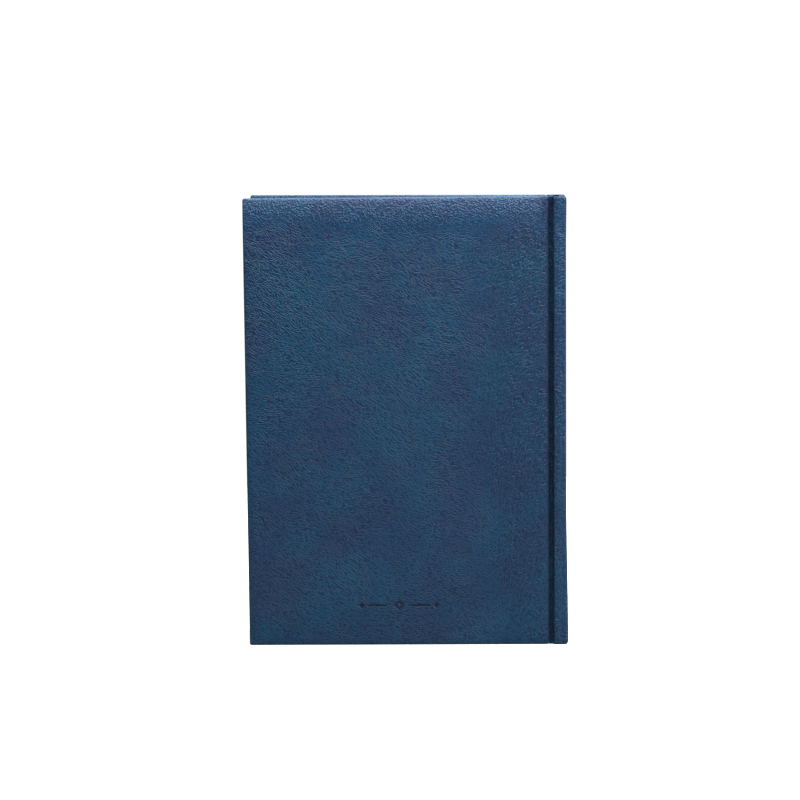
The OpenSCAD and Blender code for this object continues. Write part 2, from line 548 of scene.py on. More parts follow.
def clouds(tree: Tree, place: Socket, scale: float, detail: float) -> Socket:
    """Adds soft noise and returns its socket."""
    inputs = {"Vector": place, "Scale": scale, "Detail": detail}
    return add_node(tree, "ShaderNodeTexNoise", inputs).outputs["Fac"]


def bumped(
    tree: Tree, shader: Node, height: Socket,
    strength: float, depth: float,
) -> None:
    """Links a bump to the shader, with its depth in millimetres."""
    inputs = {"Strength": strength, "Distance": depth * MM, "Height": height}
    bump = add_node(tree, "ShaderNodeBump", inputs)
    tree.links.new(bump.outputs["Normal"], shader.inputs["Normal"])


@dataclass(frozen=True)
class PebbledLeather(Finish):
    """Polyurethane bookbinding leather, embossed with a rounded pebble grain and satin coated.

    The coat gives broad soft highlights on each pebble, the valleys between them are painted darker
    as shade and stay dull, and the dye drifts a little between a greener and a redder blue.

    Attributes:
        blue: Colour of the dye.
        slate: Colour that it drifts to.
        valley_shade: Colour painted in the grain's valleys as shade.
        rubbed_and_lit: Colour of rubbed edges, also painted as a highlight on the edges and along the
            spine.
        stamped: Colour of stamped leather, also painted as shade along the joints.
        ridge: Width of a ridge of the grain, in millimetres like all that follow.
        run: Length of a ridge in widths.
        pebble: Width of a pebble.
        speck: Size of the coat's specks.
        dye_patch: Width of a patch of dye.
        grain_patch: Width over which the grain changes direction.
        padding: How far the grain's height falls away over the thinning padding.
        padding_ends: Height where the padding starts to thin.
        padding_run: Height over which it thins.
    """

    blue: str = "184F71"
    slate: str = "204468"
    valley_shade: str = "19284A"
    rubbed_and_lit: str = "3C6C90"
    stamped: str = "181C30"
    ridge: float = 0.5
    run: float = 4.0
    pebble: float = 1.0
    padding: float = 8.0
    padding_ends: float = 200.0
    padding_run: float = 16.0
    speck: float = 0.5
    dye_patch: float = 26.0
    grain_patch: float = 30.0

    def paint(self, tree: Tree, shader: Node) -> None:
        """Links drifting dye, ridges, pebbles, painted shade in the valleys and along the joints,
        stamping, rubbed edges and painted highlights.
        """
        place = stored(tree, PLACE, "Vector")
        rub = stored(tree, RUB_AND_HIGHLIGHT)
        stamp = stored(tree, STAMP_AND_SHADE)
        grain = self._grain(tree, place)
        dye = clouds(tree, place, 1 / self.dye_patch, 5.0)
        dyed = mixed(tree, ranged(tree, dye, 0.35, 0.65), linear(self.blue), linear(self.slate))
        # painted shade: the grain's valleys are darkened towards the valley colour
        depth = ranged(tree, grain, 0.1, 0.7, 0.65, 0.0)
        shaded = mixed(tree, depth, dyed, linear(self.valley_shade))
        # stamped ornament, and painted shade along the joints, in the stamped colour
        pressed = mixed(tree, reckoned(tree, "MULTIPLY", stamp, 0.8), shaded, linear(self.stamped))
        # rubbed edges, and painted highlights on the edges and along the spine, in the lighter colour
        rubbed = mixed(tree, reckoned(tree, "MULTIPLY", rub, 0.5), pressed, linear(self.rubbed_and_lit))
        tree.links.new(rubbed, shader.inputs["Base Color"])
        speckle = clouds(tree, place, 1 / self.speck, 2.0)
        rough = ranged(tree, speckle, 0.3, 0.7, self.roughness - 0.05, self.roughness + 0.08)
        tree.links.new(
            reckoned(tree, "MULTIPLY_ADD", grain, -0.1, rough), shader.inputs["Roughness"]
        )
        height = reckoned(tree, "MULTIPLY_ADD", speckle, 0.12, self._padded(tree, place, grain))
        flattened = reckoned(tree, "MULTIPLY", stamp, -0.85)
        height = reckoned(tree, "MULTIPLY_ADD", flattened, height, height)
        bumped(tree, shader, height, 0.75, 0.25)

    def _padded(self, tree: Tree, place: Socket, grain: Socket) -> Socket:
        """The grain's height, falling away along each cover's head as its padding thins."""
        axes = add_node(tree, "ShaderNodeSeparateXYZ", {0: place}).outputs
        above = reckoned(tree, "SUBTRACT", axes["Z"], self.padding_ends)
        share = reckoned(tree, "MULTIPLY", reckoned(tree, "MAXIMUM", above, 0.0), 1 / self.padding_run)
        fall = ranged(tree, axes["X"], -12.0, -7.0, -self.padding, 0.0)
        return reckoned(tree, "MULTIPLY_ADD", reckoned(tree, "MULTIPLY", share, share), fall, grain)

    def _grain(self, tree: Tree, place: Socket) -> Socket:
        """Height of the grain: ridges that change direction, and pebbles along the head.

        The ridges slant down to the fore-edge's foot over most of the cover, and rise towards
        the joint beside it, where the leather was drawn over the board.
        """
        drift = add_node(tree, "ShaderNodeTexNoise", {"Vector": place, "Scale": 0.22, "Detail": 2.0})
        wander = add_node(
            tree, "ShaderNodeVectorMath",
            {0: drift.outputs["Color"], 1: (3.0, 3.0, 3.0), 2: place}, operation="MULTIPLY_ADD",
        ).outputs[0]
        slanting = self._ridges(tree, wander, 30.0)
        level = self._ridges(tree, wander, 4.0)
        rising = reckoned(tree, "MULTIPLY_ADD", self._ridges(tree, wander, -46.0), 1.7, -0.3)
        axes = add_node(tree, "ShaderNodeSeparateXYZ", {0: place}).outputs
        sway = clouds(tree, place, 1 / self.grain_patch, 2.0)
        to_joint = reckoned(tree, "MULTIPLY_ADD", sway, 50.0, axes["X"])
        to_head = reckoned(tree, "MULTIPLY_ADD", sway, 24.0, axes["Z"])
        ridges = blended(tree, ranged(tree, sway, 0.44, 0.58), slanting, level)
        ridges = blended(tree, ranged(tree, to_joint, -22.0, 6.0), ridges, rising)
        return blended(
            tree, ranged(tree, to_head, 208.0, 222.0), ridges, self._pebbles(tree, wander)
        )

    def _ridges(self, tree: Tree, place: Socket, slant: float) -> Socket:
        """Wavy ridges that run along a slant in degrees: 0 in the valleys and 1 on top."""
        laid = add_node(
            tree, "ShaderNodeMapping",
            {"Vector": place, "Rotation": (0, math.radians(slant), 0), "Scale": (self.run, 1, 1)},
            vector_type="TEXTURE",
        ).outputs[0]
        waves = add_node(
            tree, "ShaderNodeTexNoise",
            {"Vector": laid, "Scale": 1 / self.ridge, "Detail": 1.0, "Roughness": 0.45},
        )
        return ranged(tree, waves.outputs["Fac"], 0.33, 0.67)

    def _pebbles(self, tree: Tree, place: Socket) -> Socket:
        """Round pebbles with narrow valleys: 0 in the valleys and 1 on top."""
        cells = add_node(
            tree, "ShaderNodeTexVoronoi",
            {"Vector": place, "Scale": 1 / self.pebble, "Smoothness": 0.3}, feature="SMOOTH_F1",
        )
        return ranged(tree, cells.outputs["Distance"], 0.1, 0.7, 1.0, 0.0)


@dataclass(frozen=True)
class PlainPaper(Finish):
    """Uncoated wove paper: matt, a little cloudy when lit, with a soft fibre texture."""

    colour: str = "EFECE2"
    cloud: str = "ECE8DC"

    def paint(self, tree: Tree, shader: Node) -> None:
        """Links the cloudy colour and the fibre bump."""
        place = stored(tree, PLACE, "Vector")
        patches = ranged(tree, clouds(tree, place, 0.15, 5.0), 0.35, 0.65)
        sheet = mixed(tree, patches, linear(self.colour), linear(self.cloud))
        tree.links.new(self.printed(tree, place, sheet), shader.inputs["Base Color"])
        bumped(tree, shader, clouds(tree, place, 2.5, 4.0), 0.35, 0.03)

    def printed(self, tree: Tree, place: Socket, sheet: Socket) -> Socket:
        """Prints nothing on a plain sheet."""
        return sheet


@dataclass(frozen=True)
class RuledPaper(PlainPaper):
    """Wove paper printed with the ruled columns of a logbook page, without any lettering."""

    ink: str = "7D97AE"
    tint: str = "D5DFE4"
    line_pitch: float = 7.0
    line_width: float = 0.3
    rows_top: float = 188.0
    rows_low: float = 14.0
    header: float = 14.0
    columns: tuple[float, ...] = (-140.0, -122.0, -100.0, -84.0, -68.0, -52.0, -40.0, -20.0)

    def printed(self, tree: Tree, place: Socket, sheet: Socket) -> Socket:
        """Prints rows, columns and a tinted header band."""
        axes = add_node(tree, "ShaderNodeSeparateXYZ", {0: place}).outputs
        phase = reckoned(tree, "PINGPONG", axes["Z"], self.line_pitch / 2)
        rows = reckoned(tree, "LESS_THAN", phase, self.line_width / 2)
        for x in self.columns:
            near = reckoned(tree, "COMPARE", axes["X"], x, self.line_width / 2)
            rows = reckoned(tree, "MAXIMUM", rows, near)
        inside = self._between(tree, axes["Z"], self.rows_low, self.rows_top + self.header)
        across = self._between(tree, axes["X"], self.columns[0] - 0.1, self.columns[-1] + 0.1)
        table = reckoned(tree, "MULTIPLY", inside, across)
        band = self._between(tree, axes["Z"], self.rows_top, self.rows_top + self.header)
        tinted = mixed(tree, reckoned(tree, "MULTIPLY", band, across), sheet, linear(self.tint))
        lines = reckoned(tree, "MULTIPLY", rows, table)
        return mixed(tree, reckoned(tree, "MULTIPLY", lines, 0.8), tinted, linear(self.ink))

    def _between(self, tree: Tree, value: Socket, low: float, high: float) -> Socket:
        """1 where a number lies between two others."""
        return reckoned(tree, "COMPARE", value, (low + high) / 2, (high - low) / 2)


@dataclass(frozen=True)
class TrimmedEdge(Finish):
    """Guillotined paper edges: matt, with the lines of the single leaves, drawn 0.3 mm apart."""

    colour: str = "EAE5D6"
    shadow: str = "BFB8A4"
    leaf: float = 0.3

    def paint(self, tree: Tree, shader: Node) -> None:
        """Links the leaf lines to the colour and the bump."""
        place = stored(tree, PLACE, "Vector")
        stretched = add_node(
            tree, "ShaderNodeMapping", {"Vector": place, "Scale": (0.03, 1 / self.leaf, 0.03)}
        ).outputs[0]
        leaves = clouds(tree, stretched, 1.0, 3.0)
        lines = ranged(tree, leaves, 0.36, 0.6)
        edge = mixed(tree, lines, linear(self.shadow), linear(self.colour))
        tree.links.new(edge, shader.inputs["Base Color"])
        bumped(tree, shader, leaves, 0.6, 0.06)


@dataclass(frozen=True)
class FibreBoard(Finish):
    """Pressed fibre stock, such as greyboard or kraft paper: matt, flecked and felted."""

    colour: str = "9D968A"
    fleck: str = "6F685D"
    fleck_size: float = 0.8

    def paint(self, tree: Tree, shader: Node) -> None:
        """Links the flecks and the felted bump, on Object coordinates."""
        place = add_node(tree, "ShaderNodeTexCoord").outputs["Object"]
        flecks = clouds(tree, place, 1 / (self.fleck_size * MM), 4.0)
        stock = mixed(
            tree, ranged(tree, flecks, 0.5, 0.72), linear(self.colour), linear(self.fleck)
        )
        tree.links.new(stock, shader.inputs["Base Color"])
        bumped(tree, shader, flecks, 0.6, 0.08)


@dataclass(frozen=True)
class OpenGauze(Finish):
    """Starched cotton mull: an open plain weave, drawn at a 0.9 mm thread spacing."""

    colour: str = "DDD6C2"
    gap: str = "A79C82"
    spacing: float = 0.9

    def paint(self, tree: Tree, shader: Node) -> None:
        """Links the crossing threads to the colour and the bump."""
        place = add_node(tree, "ShaderNodeTexCoord").outputs["Object"]
        axes = add_node(tree, "ShaderNodeSeparateXYZ", {0: place}).outputs
        level = reckoned(tree, "ADD", axes["X"], axes["Y"])
        half = self.spacing * MM / 2
        warp = reckoned(tree, "PINGPONG", level, half)
        weft = reckoned(tree, "PINGPONG", axes["Z"], half)
        nearest = reckoned(tree, "MINIMUM", warp, weft)
        threads = ranged(tree, nearest, half * 0.35, half * 0.75, 1.0, 0.0)
        weave = mixed(tree, threads, linear(self.gap), linear(self.colour))
        tree.links.new(weave, shader.inputs["Base Color"])
        bumped(tree, shader, threads, 0.8, 0.1)


@dataclass(frozen=True)
class TwistedYarn(Finish):
    """Plied yarn, such as waxed linen or silk: soft sheen with slanting plies.

    The two colours are the same yarn's lit ply and the groove beside it, or two yarns of a band.
    """

    colour: str = "E9E3D2"
    other: str = "C4BBA3"
    pitch: float = 0.9
    slant: float = 0.5

    def paint(self, tree: Tree, shader: Node) -> None:
        """Links the plies, which run along Y, to the colour and the bump."""
        place = add_node(tree, "ShaderNodeTexCoord").outputs["Object"]
        axes = add_node(tree, "ShaderNodeSeparateXYZ", {0: place}).outputs
        leaning = reckoned(tree, "MULTIPLY_ADD", axes["Z"], self.slant, axes["Y"])
        phase = reckoned(tree, "PINGPONG", leaning, self.pitch * MM / 2)
        plies = ranged(tree, phase, self.pitch * MM * 0.18, self.pitch * MM * 0.32)
        yarn = mixed(tree, plies, linear(self.other), linear(self.colour))
        tree.links.new(yarn, shader.inputs["Base Color"])
        bumped(tree, shader, plies, 0.5, 0.08)


@dataclass(frozen=True)
class StudioFloor(Finish):
    """Matt white paper sweep, lit from behind, that throws little light back on the book."""

    glow: float = 0.6
    thrown: str = "94989C"

    def paint(self, tree: Tree, shader: Node) -> None:
        """Links a barely uneven white."""
        place = add_node(tree, "ShaderNodeTexCoord").outputs["Object"]
        cloud = add_node(tree, "ShaderNodeTexNoise", {"Vector": place, "Scale": 3.0})
        paper = mixed(tree, cloud.outputs["Fac"], linear("F6F7F8"), linear("FAFAFA"))
        seen = add_node(tree, "ShaderNodeLightPath").outputs["Is Camera Ray"]
        tree.links.new(mixed(tree, seen, linear(self.thrown), paper), shader.inputs["Base Color"])
        shader.inputs["Emission Color"].default_value = (1, 1, 1, 1)
        glowing = reckoned(tree, "MULTIPLY", seen, self.glow)
        tree.links.new(glowing, shader.inputs["Emission Strength"])


LEATHER = PebbledLeather("navy_pebbled_leather", roughness=0.44, gloss=0.35)
ENDPAPER = PlainPaper("ivory_endpaper", roughness=0.8)
PAGES = RuledPaper("ruled_page_paper", roughness=0.75, colour="F1EFE8", cloud="EEEBE3")
PAGE_EDGES = TrimmedEdge("trimmed_page_edges", roughness=0.85)
GREYBOARD = FibreBoard("greyboard", roughness=0.9)
KRAFT = FibreBoard("kraft_paper", roughness=0.8, colour="A9835A", fleck="8A673F", fleck_size=1.4)
GAUZE = OpenGauze("cotton_mull", roughness=0.9)
THREAD = TwistedYarn("waxed_linen_thread", roughness=0.55)
BAND_SILK = TwistedYarn("striped_band_silk", roughness=0.5, colour="3D5F8B", other="E6E0D0", pitch=1.1)
FLOOR = StudioFloor("white_paper_sweep", roughness=0.9)


# ---------------------------------------------------------------- case


@dataclass
class CoverBoard:
    """The greyboard inside one cover, with its outer face sanded down towards the edges.

    Attributes:
        book: The book's planes.
        cell: Size of the outer face's cells.
    """

    book: Book
    cell: float = 3 * MM

    def build(self, side: Side) -> Piece:
        """Builds one board and hangs it on its cover.

        Args:
            side: Which cover.

        Returns:
            The finished piece.
        """
        low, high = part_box("back_board")
        width, height = high.x - low.x, high.z - low.z
        piece = grid(
            f"{side.value}_greyboard", Vector(((low.x + high.x) / 2, low.y, (low.z + high.z) / 2)),
            (math.pi / 2, 0, 0), (width, height),
            (round(width / self.cell), round(height / self.cell)),
        )
        finish_with(piece, "SOLIDIFY", thickness=high.y - low.y, offset=-1)
        sculpt(piece, self.book.pressed)
        if side is Side.FRONT:
            mirrored(piece)
            self.book.set_ajar(piece)
        smooth(piece)
        GREYBOARD.dress(piece, "greyboard")
        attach(piece, side.cover)
        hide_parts(f"{side.value}_board")
        return piece


@dataclass
class CoverSkin:
    """The leather that is wrapped round one cover board and turned in over its inner face.

    Attributes:
        book: The book's planes.
        cell: Size of the outer face's cells.
        roll: Radius of the outer edges.
        inner_roll: Radius of the inner edges.
        corner: Radius of the corners.
        turn_in: Width of the leather folded over inside.
        over_joint: Width folded over inside along the joint.
        skin: Thickness of the pared leather.
        stamp_height: Height of the stamped ornament's centre.
        stamp_reach: How far its two rules reach from the centre.
        stamp_rule: Width of its two rules.
        stamp_lozenge: Half the lozenge's diagonal.
        stamp_depth: Depth of the stamping.
    """

    book: Book
    cell: float = 1.25 * MM
    roll: float = 1.1 * MM
    inner_roll: float = 0.7 * MM
    corner: float = 1.0 * MM
    turn_in: float = 15 * MM
    over_joint: float = 1.5 * MM
    skin: float = 0.3 * MM
    stamp_height: float = 19.5 * MM
    stamp_reach: float = 15 * MM
    stamp_rule: float = 1 * MM
    stamp_lozenge: float = 3 * MM
    stamp_depth: float = 0.25 * MM

    def build(self, side: Side) -> Piece:
        """Builds the skin of one cover and hangs it on its body.

        Args:
            side: Which cover.

        Returns:
            The finished piece.
        """
        piece = self._face(f"{side.value}_cover_leather")
        if side is Side.BACK:
            self._stamp(piece)
        self._wrap(piece)
        outward(piece, Vector((0, -1, 0)))
        self._swell(piece, side)
        sculpt(piece, self.book.pressed)
        finish_with(piece, "SOLIDIFY", thickness=self.skin, offset=-1, use_even_offset=True)
        # rubbing with a painted highlight on the edges, and stamping with painted shade along the joint
        keep_share(piece, RUB_AND_HIGHLIGHT, self._wear_and_highlight)
        keep_share(piece, STAMP_AND_SHADE, lambda at: self._stamp_and_joint_shade(at, side))
        if side is Side.FRONT:
            mirrored(piece)
        keep_place(piece)
        if side is Side.FRONT:
            self.book.set_ajar(piece)
        smooth(piece)
        LEATHER.dress(piece, "cover_leather")
        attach(piece, side.cover)
        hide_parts(f"{side.value}_leather")
        return piece

    def _middle(self) -> Vector:
        """Middle of the cover's outer face."""
        return Vector(((self.book.fore + self.book.shoulder) / 2, -self.book.outer, self.book.head / 2))

    def _centre(self) -> Vector:
        """Centre of the stamped ornament."""
        return Vector((self._middle().x, -self.book.outer, self.stamp_height))

    def _stamp_and_joint_shade(self, at: Vector, side: Side) -> float:
        """How dark a point is: stamped in the ornament, and painted shade along the joint, wider
        towards the head.
        """
        if at.y > -self.book.outer + 1.5 * MM:
            return 0.0
        # painted shade where the cover rolls down into the joint, wider towards the head
        away = (self.book.shoulder - at.x) / ((1 + 2.6 * at.z / self.book.head) * MM)
        joint_shade = 0.75 * max(0.0, 1 - away)
        stamp = self._stamped(at - self._centre()) if side is Side.BACK else 0.0
        return max(joint_shade, stamp)

    def _face(self, name: str) -> Piece:
        """The flat of the outer face, as a grid that faces away from the pages."""
        width = self.book.shoulder - self.book.fore - 2 * self.roll
        height = self.book.head - 2 * self.roll
        cells = (round(width / self.cell), round(height / self.cell))
        return grid(name, self._middle(), (math.pi / 2, 0, 0), (width, height), cells)

    def _stamp(self, piece: Piece) -> None:
        """Presses two rules and a lozenge into the face."""
        centre = self._centre()
        margin = 2 * self.cell
        with editing(piece):
            pick(piece, "faces", lambda at, normal: abs(at.x - centre.x) < 1.4 * self.stamp_reach
                 and abs(at.z - centre.z) < self.stamp_lozenge + margin)
            bpy.ops.mesh.subdivide(number_cuts=4)
        sculpt(piece, lambda at: at + Vector((0, self.stamp_depth * self._stamped(at - centre), 0)))

    def _stamped(self, at: Vector) -> float:
        """How deep a point is stamped, from 0 to 1, measured from the ornament's centre."""
        soft = 0.15 * MM
        rule = min(
            self.stamp_rule / 2 - abs(at.z),
            self.stamp_reach - abs(at.x),
            abs(at.x) - 2 * self.stamp_lozenge,
        )
        lozenge = (self.stamp_lozenge - abs(at.x) - abs(at.z)) / math.sqrt(2)
        frame = 0.4 * MM - abs(abs(at.x) + abs(at.z) - 0.6 * self.stamp_lozenge) / math.sqrt(2)
        hollow = min(lozenge, max(frame, -lozenge - frame))
        beyond = abs(abs(at.x) - self.stamp_reach - self.stamp_lozenge)
        tips = (0.5 * self.stamp_lozenge - beyond - abs(at.z)) / math.sqrt(2)
        return ease(0.5 + max(rule, hollow, tips) / (2 * soft))

    def _wrap(self, piece: Piece) -> None:
        """Rolls the rim over the board's edges and lays it on the inner face."""
        middle = self._middle()
        half_x = (self.book.shoulder - self.book.fore) / 2 - self.roll
        half_z = self.book.head / 2 - self.roll
        edge = self.book.outer - self.book.inner - self.roll - self.inner_roll
        with editing(piece, "VERT"):
            near = 0.1 * MM
            pick(piece, "verts", lambda at, normal: abs(abs(at.x - middle.x) - half_x) < near
                 and abs(abs(at.z - middle.z) - half_z) < near)
            bpy.ops.mesh.bevel(affect="VERTICES", offset=self.corner, segments=4)
        rim = []
        for k in range(1, 5):
            angle = k * math.pi / 8
            rim.append((self.roll * math.sin(angle), self.roll * (1 - math.cos(angle))))
        rim.append((self.roll, self.roll + edge / 2))
        rim.append((self.roll, self.roll + edge))
        for k in range(1, 4):
            angle = k * math.pi / 6
            rim.append((
                self.roll - self.inner_roll * (1 - math.cos(angle)),
                self.roll + edge + self.inner_roll * math.sin(angle),
            ))
        with editing(piece, "EDGE"):
            pick_rim()
            grown, sunk = 0.0, 0.0
            for grow, sink in rim:
                self._extrude_rim(middle, (half_x + grown, half_z + grown), grow - grown, sink - sunk)
                grown, sunk = grow, sink
            self._lay_turn_in(middle, half_x + grown, half_z + grown)

    def _extrude_rim(self, middle: Vector, half: tuple, grow: float, sink: float) -> None:
        """Extrudes the selected rim once, grown on all sides and sunk towards the pages."""
        bpy.ops.mesh.extrude_edges_move()
        bpy.ops.transform.resize(
            value=((half[0] + grow) / half[0], 1, (half[1] + grow) / half[1]), center_override=middle
        )
        bpy.ops.transform.translate(value=(0, sink, 0))

    def _lay_turn_in(self, middle: Vector, half_x: float, half_z: float) -> None:
        """Extrudes the selected rim inwards over the inner face, least along the joint."""
        steps = 4
        for step in range(steps):
            wide = (self.turn_in + self.over_joint) / steps
            tall = 2 * self.turn_in / steps
            width = 2 * half_x - step * wide
            height = 2 * half_z - step * tall
            still = middle.x + half_x - self.over_joint * 2 * half_x / (self.turn_in + self.over_joint)
            bpy.ops.mesh.extrude_edges_move()
            bpy.ops.transform.resize(
                value=((width - wide) / width, 1, (height - tall) / height),
                center_override=(still, middle.y, middle.z),
            )

    def _swell(self, piece: Piece, side: Side) -> None:
        """Lets the leather swell and dip a little over the board, as glued leather does."""
        group = piece.vertex_groups.new(name="free")
        for vertex in piece.data.vertices:
            if vertex.co.y < -self.book.outer + self.stamp_depth + 0.1 * MM:
                group.add([vertex.index], 1.0, "REPLACE")
        for name, size, strength in (("broad_swell", 38, 0.28), ("small_swell", 9, 0.1)):
            texture = bpy.data.textures.new(f"{side.value}_{name}", "CLOUDS")
            texture.noise_scale = size * MM
            finish_with(
                piece, "DISPLACE", texture=texture, texture_coords="LOCAL", vertex_group="free",
                strength=strength * MM, mid_level=0.5,
            )
        piece.vertex_groups.clear()

    def _wear_and_highlight(self, at: Vector) -> float:
        """How rubbed a point is: most on the edges that are handled or stood on, where the lighter
        colour also stands as a painted highlight.
        """
        away = min(at.z, self.book.head - at.z, at.x - self.book.fore)
        patchy = noise.noise(at / (9 * MM)) * 0.5 + 0.5
        return max(0.0, 1 - away / (1.4 * MM)) * patchy


@dataclass
class JointLeather:
    """The leather of half the spine, from its middle down into the joint and under the cover.

    Attributes:
        book: The book's planes.
        row: Height of a row of cells.
        edge_round: Radius of the spine's outer edge.
        wall_round: Radius where the leather drops into the joint.
        foot_round: Radius at the foot of the joint's wall.
        under: How far the leather runs in under the cover's edge.
        head_bridge: Share of the joint's depth that the turned-in fold fills at the head.
        head_run: Height over which it fills it.
        tail_bridge: The same share at the tail.
        tail_run: The same height at the tail.
        head_flare: How far the spine stands out at the head.
        head_reach: Height over which it flares.
        tail_flare: How far the spine stands out at the tail.
        tail_reach: Height over which it flares.
        highlight_in: How far in from the back the painted highlight band along the spine runs.
    """

    book: Book
    row: float = 1.2 * MM
    edge_round: float = 1.5 * MM
    wall_round: float = 0.55 * MM
    foot_round: float = 0.5 * MM
    under: float = 0.2 * MM
    head_bridge: float = 0.7
    head_run: float = 4 * MM
    tail_bridge: float = 0.45
    tail_run: float = 2.5 * MM
    head_flare: float = 0.2 * MM
    head_reach: float = 26 * MM
    tail_flare: float = 0.95 * MM
    tail_reach: float = 80 * MM
    highlight_in: float = 2.7 * MM

    def build(self, side: Side) -> Piece:
        """Builds the leather of one half of the spine and bends it over the joint.

        Args:
            side: Which half.

        Returns:
            The finished piece.
        """
        piece = self._sweep(f"{side.value}_joint_leather")
        outward(piece, Vector((1, 0, 0)))
        sculpt(piece, self._shaped)
        finish_with(piece, "SOLIDIFY", thickness=self.book.leather, offset=-1, use_even_offset=True)
        sculpt(piece, lambda at: Vector((at.x, at.y, min(max(at.z, 0.0), self.book.head))))
        self._round_ends(piece)
        # rubbed ends, a painted highlight band along the spine, and painted shade at the foot of the
        # joint
        keep_share(piece, RUB_AND_HIGHLIGHT, self._wear_and_highlight)
        keep_share(piece, STAMP_AND_SHADE, self._groove_shade)
        if side is Side.FRONT:
            mirrored(piece)
        keep_place(piece)
        smooth(piece)
        LEATHER.dress(piece, "cover_leather")
        self.book.joint(side, self.book.board_in).bend(piece)
        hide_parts("spine_leather")
        return piece

    def _sweep(self, name: str) -> Piece:
        """Draws the sheet from the spine's middle to under the cover by extruding and spinning."""
        flat = self.book.outer - self.edge_round
        rows = round(self.book.head / self.row)
        piece = grid(
            name, Vector((self.book.back, -flat / 2, self.book.head / 2)),
            (math.pi / 2, 0, math.pi / 2), (flat, self.book.head), (6, rows),
        )
        with editing(piece, "EDGE"):
            pick(piece, "edges", lambda at, normal: abs(at.y + flat) < 0.01 * MM)
            self._spin(6, -1, (self.book.back - self.edge_round, -flat))
            run = self.book.back - self.edge_round - self.book.strip - self.wall_round
            self._run(4, Vector((-run, 0, 0)))
            self._spin(5, -1, (self.book.strip + self.wall_round, self.wall_round - self.book.outer))
            wall = self.book.outer - self.book.board_in - self.wall_round - self.foot_round
            self._run(3, Vector((0, wall, 0)))
            self._spin(
                4, 1,
                (self.book.strip - self.foot_round, -self.book.board_in - self.foot_round),
            )
            floor = self.book.strip - self.foot_round - self.book.shoulder + self.under
            self._run(5, Vector((-floor, 0, 0)))
        return piece

    def _spin(self, steps: int, way: int, centre: tuple) -> None:
        """Spins the selected edges a quarter turn, clockwise from above where way is -1."""
        bpy.ops.mesh.spin(
            steps=steps, angle=-way * math.pi / 2, center=(centre[0], centre[1], 0), axis=(0, 0, 1)
        )

    def _run(self, steps: int, travel: Vector) -> None:
        """Extrudes the selected edges along a straight line in equal steps."""
        for _ in range(steps):
            bpy.ops.mesh.extrude_edges_move()
            bpy.ops.transform.translate(value=travel / steps)

    def _shaped(self, at: Vector) -> Vector:
        """Bridges the joint at head and tail, and rounds the spine's own ends."""
        to_head = self.book.head - at.z
        bridge = self.head_bridge * ease(1 - to_head / self.head_run)
        bridge += self.tail_bridge * ease(1 - at.z / self.tail_run)
        depth = self.book.outer + at.y
        if at.x < self.book.strip + self.wall_round:
            at.y = -self.book.outer + depth * (1 - bridge)
        across = max(0.0, (at.x - self.book.strip) / (self.book.back - self.book.strip))
        at.x += across * (
            self.tail_flare * ease(1 - at.z / self.tail_reach)
            + self.head_flare * ease(1 - to_head / self.head_reach)
        )
        end = max(0.0, 1 - to_head / (1.6 * MM)) ** 2 + max(0.0, 1 - at.z / (1.6 * MM)) ** 2
        if at.x > self.book.back - self.edge_round:
            at.x -= 0.6 * MM * end
        if at.y < -self.book.outer + self.edge_round:
            at.y += 0.22 * MM * end + 0.04 * MM * max(0.0, 1 - to_head / (3.5 * MM)) ** 2
        return at

    def _round_ends(self, piece: Piece) -> None:
        """Rounds the folded edge at head and tail."""
        near = 0.02 * MM
        with editing(piece, "EDGE"):
            mesh = bmesh.from_edit_mesh(piece.data)
            for edge in mesh.edges:
                at_head = all(abs(v.co.z - self.book.head) < near for v in edge.verts)
                at_tail = all(abs(v.co.z) < near for v in edge.verts)
                turns = len(edge.link_faces) == 2 and edge.calc_face_angle() > 1.0
                middle = (edge.verts[0].co + edge.verts[1].co) / 2
                if (at_head or at_tail) and turns and middle.y < -0.1 * MM:
                    edge.select_set(True)
            bmesh.update_edit_mesh(piece.data)
            bpy.ops.mesh.bevel(affect="EDGES", offset=0.24 * MM, segments=3)

    def _groove_shade(self, at: Vector) -> float:
        """How dark a point is painted as shade: the foot of the joint's groove, fading out at head and
        tail.
        """
        if at.x > self.book.strip + 0.2 * MM:
            return 0.0
        sunk = self.book.outer + at.y - self.wall_round
        ends = min(at.z, self.book.head - at.z) / (5 * MM)
        return 0.25 * ease(sunk / (1.2 * MM)) * ease(ends)

    def _wear_and_highlight(self, at: Vector) -> float:
        """How rubbed a point is at the spine's ends, and a painted highlight band along the spine in
        from its outer edge.
        """
        away = min(at.z, self.book.head - at.z)
        patchy = noise.noise(at / (6 * MM)) * 0.5 + 0.5
        ends = 0.3 * max(0.0, 1 - away / (1.2 * MM)) * patchy
        if at.y > -self.book.outer + 0.5 * MM:
            return ends
        # painted highlight: a lighter band along the spine, in from its outer edge
        off_ridge = abs(at.x - self.book.back + self.highlight_in)
        ridge = 0.9 * max(0.0, 1 - off_ridge / (1.1 * MM)) * patchy
        return max(ends, ridge)


